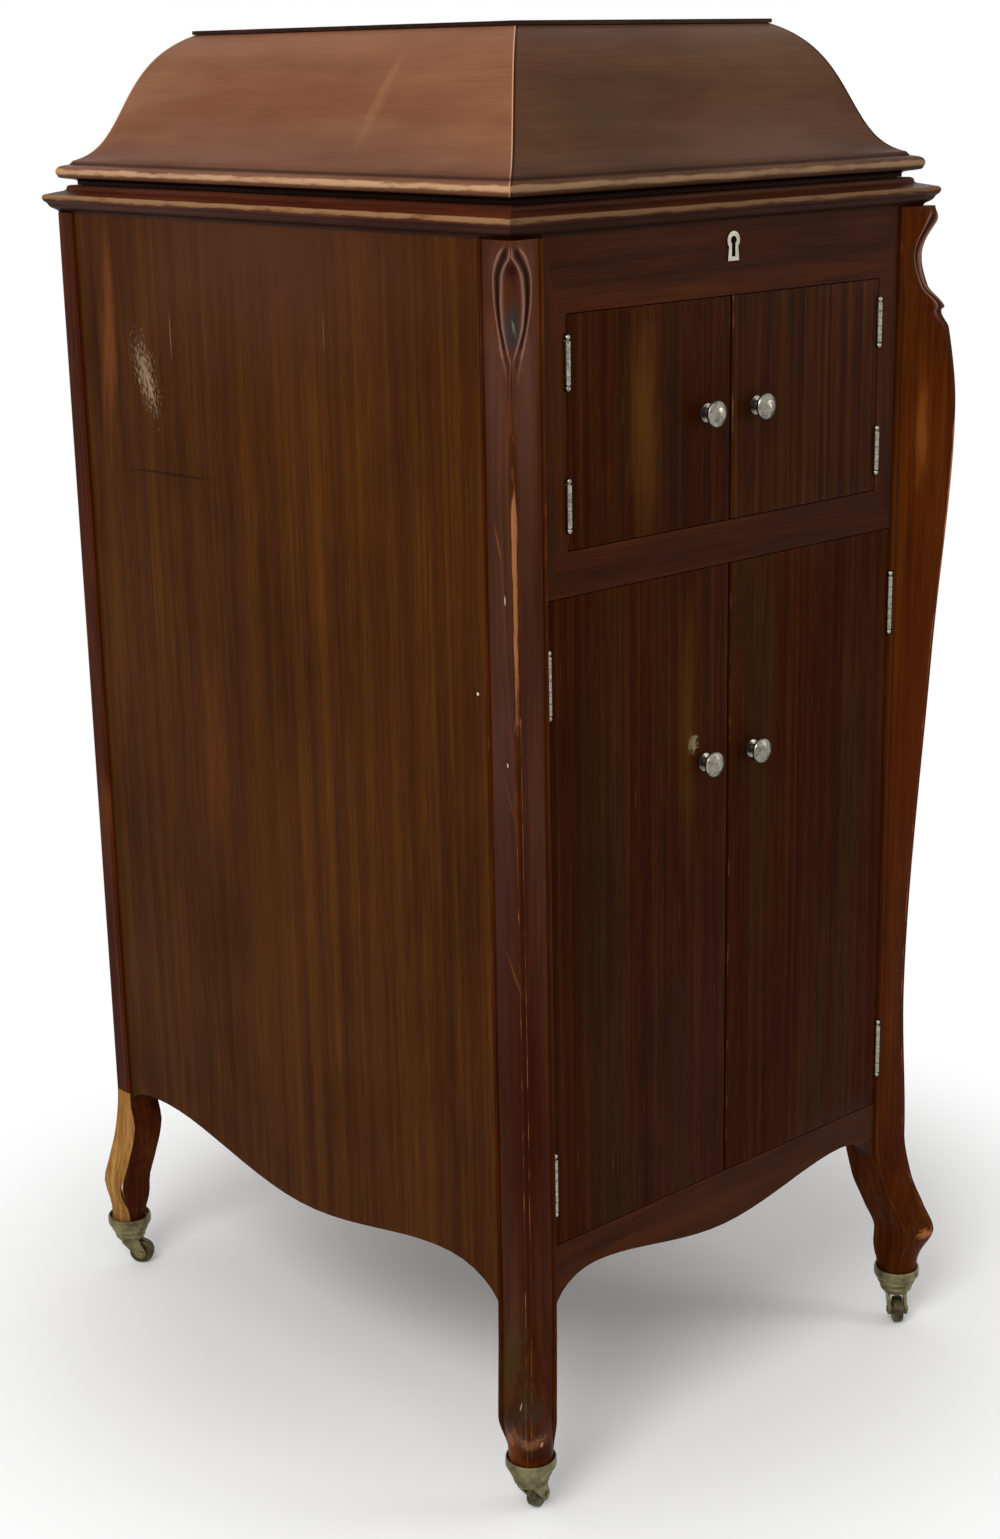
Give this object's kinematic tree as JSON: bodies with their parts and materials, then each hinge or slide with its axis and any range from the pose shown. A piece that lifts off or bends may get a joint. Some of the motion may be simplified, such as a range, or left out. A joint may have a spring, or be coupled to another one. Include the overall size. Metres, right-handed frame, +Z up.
{
  "type": "cabinet gramophone",
  "caption": "Floor-standing gramophone in a mahogany case: hipped ogee lid over the turntable, horn behind the upper doors, record rack behind the lower doors, carved posts on casters.",
  "frame": {"origin": "on the floor, under the centre of the whole part's box at rest, crank included; the case's own centre lies 54.95 mm to the left and 3.70 mm behind", "axes": "+X to the right seen from the front, +Y towards the back (the doors face -Y), +Z up"},
  "size_m": [0.6014, 0.6099, 1.12],
  "materials": {
    "panel_mahogany": "dark red-brown French polish, worn",
    "post_mahogany": "dark red polish, worn on the arrises",
    "nickel": "bright nickel plate, lightly dulled",
    "motor_brass": "lacquered brass",
    "motor_steel": "oiled steel",
    "horn_iron": "black japanned",
    "caster_metal": "aged olive-grey metal",
    "caster_wheel": "dark worn iron",
    "felt": "green felt",
    "grip_wood": "ebonised, polished"
  },
  "bodies": {
    "cabinet": {"front_post_left": "post_mahogany", "front_post_right": "post_mahogany", "rear_posts": "post_mahogany", "side_panel_left": "panel_mahogany", "side_panel_right": "panel_mahogany", "back_panel": "panel_mahogany", "front_frame": "panel_mahogany", "front_apron": "panel_mahogany", "cornice": "panel_mahogany", "bottom_board": "panel_mahogany", "horn_shelf": "panel_mahogany", "record_rack": "panel_mahogany", "motor_board": "panel_mahogany", "horn_boards": "panel_mahogany", "horn_throat": "horn_iron", "caster_cups": "caster_metal", "case_hinges": "nickel", "escutcheon": "nickel", "motor_frame": "motor_steel", "tone_arm_bracket": "nickel", "needle_cups": "nickel", "crank_escutcheon": "nickel", "stay_rail": "motor_brass"},
    "lid": {"lid": "panel_mahogany", "lid_top_board": "panel_mahogany", "lid_hinge_leaves": "motor_brass"},
    "lid_stay": {"lid_stay": "motor_brass"},
    "upper_door_left": {"upper_door_left": "panel_mahogany", "upper_knob_left": "nickel", "upper_hinge_leaves_left": "nickel"},
    "upper_door_right": {"upper_door_right": "panel_mahogany", "upper_knob_right": "nickel", "upper_hinge_leaves_right": "nickel"},
    "lower_door_left": {"lower_door_left": "panel_mahogany", "lower_knob_left": "nickel", "lower_hinge_leaves_left": "nickel"},
    "lower_door_right": {"lower_door_right": "panel_mahogany", "lower_knob_right": "nickel", "lower_hinge_leaves_right": "nickel"},
    "crank": {"crank": "nickel"},
    "crank_grip": {"crank_grip": "grip_wood"},
    "winding_arbor": {"winding_arbor": "motor_steel"},
    "turntable": {"turntable": "nickel", "turntable_felt": "felt", "spindle": "motor_steel"},
    "spring_barrel": {"spring_barrel": "motor_brass"},
    "intermediate_gear": {"intermediate_gear": "motor_brass"},
    "governor": {"governor": "motor_brass"},
    "tone_arm": {"tone_arm": "nickel"},
    "sound_box": {"gooseneck": "nickel", "sound_box": "nickel"},
    "brake_lever": {"brake_lever": "motor_brass"},
    "caster_horn_front_left": {"caster_horn_front_left": "caster_metal"},
    "caster_wheel_front_left": {"caster_wheel_front_left": "caster_wheel"},
    "caster_horn_front_right": {"caster_horn_front_right": "caster_metal"},
    "caster_wheel_front_right": {"caster_wheel_front_right": "caster_wheel"},
    "caster_horn_rear_left": {"caster_horn_rear_left": "caster_metal"},
    "caster_wheel_rear_left": {"caster_wheel_rear_left": "caster_wheel"},
    "caster_horn_rear_right": {"caster_horn_rear_right": "caster_metal"},
    "caster_wheel_rear_right": {"caster_wheel_rear_right": "caster_wheel"}
  },
  "joints": [
    {"name": "lid_hinge", "type": "hinge", "parent": "cabinet", "child": "lid", "pos_m": [-0.05495, 0.2917, 1.001], "axis": [-1, 0, 0], "range_deg": [0, 65]},
    {"name": "lid_stay_pivot", "type": "hinge", "parent": "lid", "child": "lid_stay", "pos_m": [0.13105, 0.16195, 1.009], "axis": [-1, 0, 0], "range_deg": [-130, 0]},
    {"name": "upper_door_left_hinge", "type": "hinge", "parent": "cabinet", "child": "upper_door_left", "pos_m": [-0.22375, -0.2793, 0.0005], "axis": [0, 0, -1], "range_deg": [0, 110]},
    {"name": "upper_door_right_hinge", "type": "hinge", "parent": "cabinet", "child": "upper_door_right", "pos_m": [0.11385, -0.2793, 0.0005], "axis": [0, 0, 1], "range_deg": [0, 110]},
    {"name": "lower_door_left_hinge", "type": "hinge", "parent": "cabinet", "child": "lower_door_left", "pos_m": [-0.24555, -0.2793, 0.0005], "axis": [0, 0, -1], "range_deg": [0, 110]},
    {"name": "lower_door_right_hinge", "type": "hinge", "parent": "cabinet", "child": "lower_door_right", "pos_m": [0.13565, -0.2793, 0.0005], "axis": [0, 0, 1], "range_deg": [0, 110]},
    {"name": "crank_turn", "type": "hinge", "parent": "cabinet", "child": "crank", "pos_m": [0.16405, -0.036, 0.943], "axis": [1, 0, 0], "continuous": true},
    {"name": "grip_spin", "type": "hinge", "parent": "crank", "child": "crank_grip", "pos_m": [0.20705, -0.036, 0.848], "axis": [1, 0, 0], "continuous": true},
    {"name": "arbor_turn", "type": "hinge", "parent": "cabinet", "child": "winding_arbor", "pos_m": [0.01105, -0.0563, 0.943], "axis": [0, 0, 1], "continuous": true},
    {"name": "turntable_turn", "type": "hinge", "parent": "cabinet", "child": "turntable", "pos_m": [-0.06695, -0.0563, 0.987], "axis": [0, 0, 1], "continuous": true},
    {"name": "barrel_turn", "type": "hinge", "parent": "cabinet", "child": "spring_barrel", "pos_m": [0.01105, -0.0563, 0.9], "axis": [0, 0, 1], "continuous": true},
    {"name": "intermediate_turn", "type": "hinge", "parent": "cabinet", "child": "intermediate_gear", "pos_m": [-0.03441, -0.0717, 0.9], "axis": [0, 0, 1], "continuous": true},
    {"name": "governor_turn", "type": "hinge", "parent": "cabinet", "child": "governor", "pos_m": [-0.08725, -0.0563, 0.921], "axis": [0, 1, 0], "continuous": true},
    {"name": "tone_arm_swing", "type": "hinge", "parent": "cabinet", "child": "tone_arm", "pos_m": [0.04905, 0.1837, 1.034], "axis": [0, 0, 1], "range_deg": [-28, 0]},
    {"name": "sound_box_flip", "type": "hinge", "parent": "tone_arm", "child": "sound_box", "pos_m": [0.04905, 0.1837, 1.034], "axis": [0.0558, -0.9984, 0], "range_deg": [0, 85]},
    {"name": "brake_swing", "type": "hinge", "parent": "cabinet", "child": "brake_lever", "pos_m": [0.07736, -0.13629, 0.972], "axis": [0, 0, 1], "range_deg": [0, 18]},
    {"name": "front_left_swivel", "type": "hinge", "parent": "cabinet", "child": "caster_horn_front_left", "pos_m": [-0.27795, -0.2823, 0.027], "axis": [0, 0, 1], "continuous": true},
    {"name": "front_left_roll", "type": "hinge", "parent": "caster_horn_front_left", "child": "caster_wheel_front_left", "pos_m": [-0.26855, -0.27888, 0.0114], "axis": [-0.342, 0.9397, 0], "continuous": true},
    {"name": "front_right_swivel", "type": "hinge", "parent": "cabinet", "child": "caster_horn_front_right", "pos_m": [0.16805, -0.2823, 0.027], "axis": [0, 0, 1], "continuous": true},
    {"name": "front_right_roll", "type": "hinge", "parent": "caster_horn_front_right", "child": "caster_wheel_front_right", "pos_m": [0.16136, -0.28973, 0.0114], "axis": [0.7431, -0.6691, 0], "continuous": true},
    {"name": "rear_left_swivel", "type": "hinge", "parent": "cabinet", "child": "caster_horn_rear_left", "pos_m": [-0.27295, 0.2847, 0.027], "axis": [0, 0, 1], "continuous": true},
    {"name": "rear_left_roll", "type": "hinge", "parent": "caster_horn_rear_left", "child": "caster_wheel_rear_left", "pos_m": [-0.26588, 0.27763, 0.0114], "axis": [0.7071, 0.7071, 0], "continuous": true},
    {"name": "rear_right_swivel", "type": "hinge", "parent": "cabinet", "child": "caster_horn_rear_right", "pos_m": [0.16305, 0.2847, 0.027], "axis": [0, 0, 1], "continuous": true},
    {"name": "rear_right_roll", "type": "hinge", "parent": "caster_horn_rear_right", "child": "caster_wheel_rear_right", "pos_m": [0.15365, 0.28128, 0.0114], "axis": [0.342, -0.9397, 0], "continuous": true}
  ],
  "couplings": [
    {"joint": "lid_stay_pivot", "follows": "lid_hinge", "ratio": -2},
    {"joint": "intermediate_turn", "follows": "turntable_turn", "ratio": -0.2},
    {"joint": "barrel_turn", "follows": "turntable_turn", "ratio": 0.028571},
    {"joint": "governor_turn", "follows": "turntable_turn", "ratio": 10},
    {"joint": "arbor_turn", "follows": "crank_turn", "ratio": 0.071429}
  ]
}
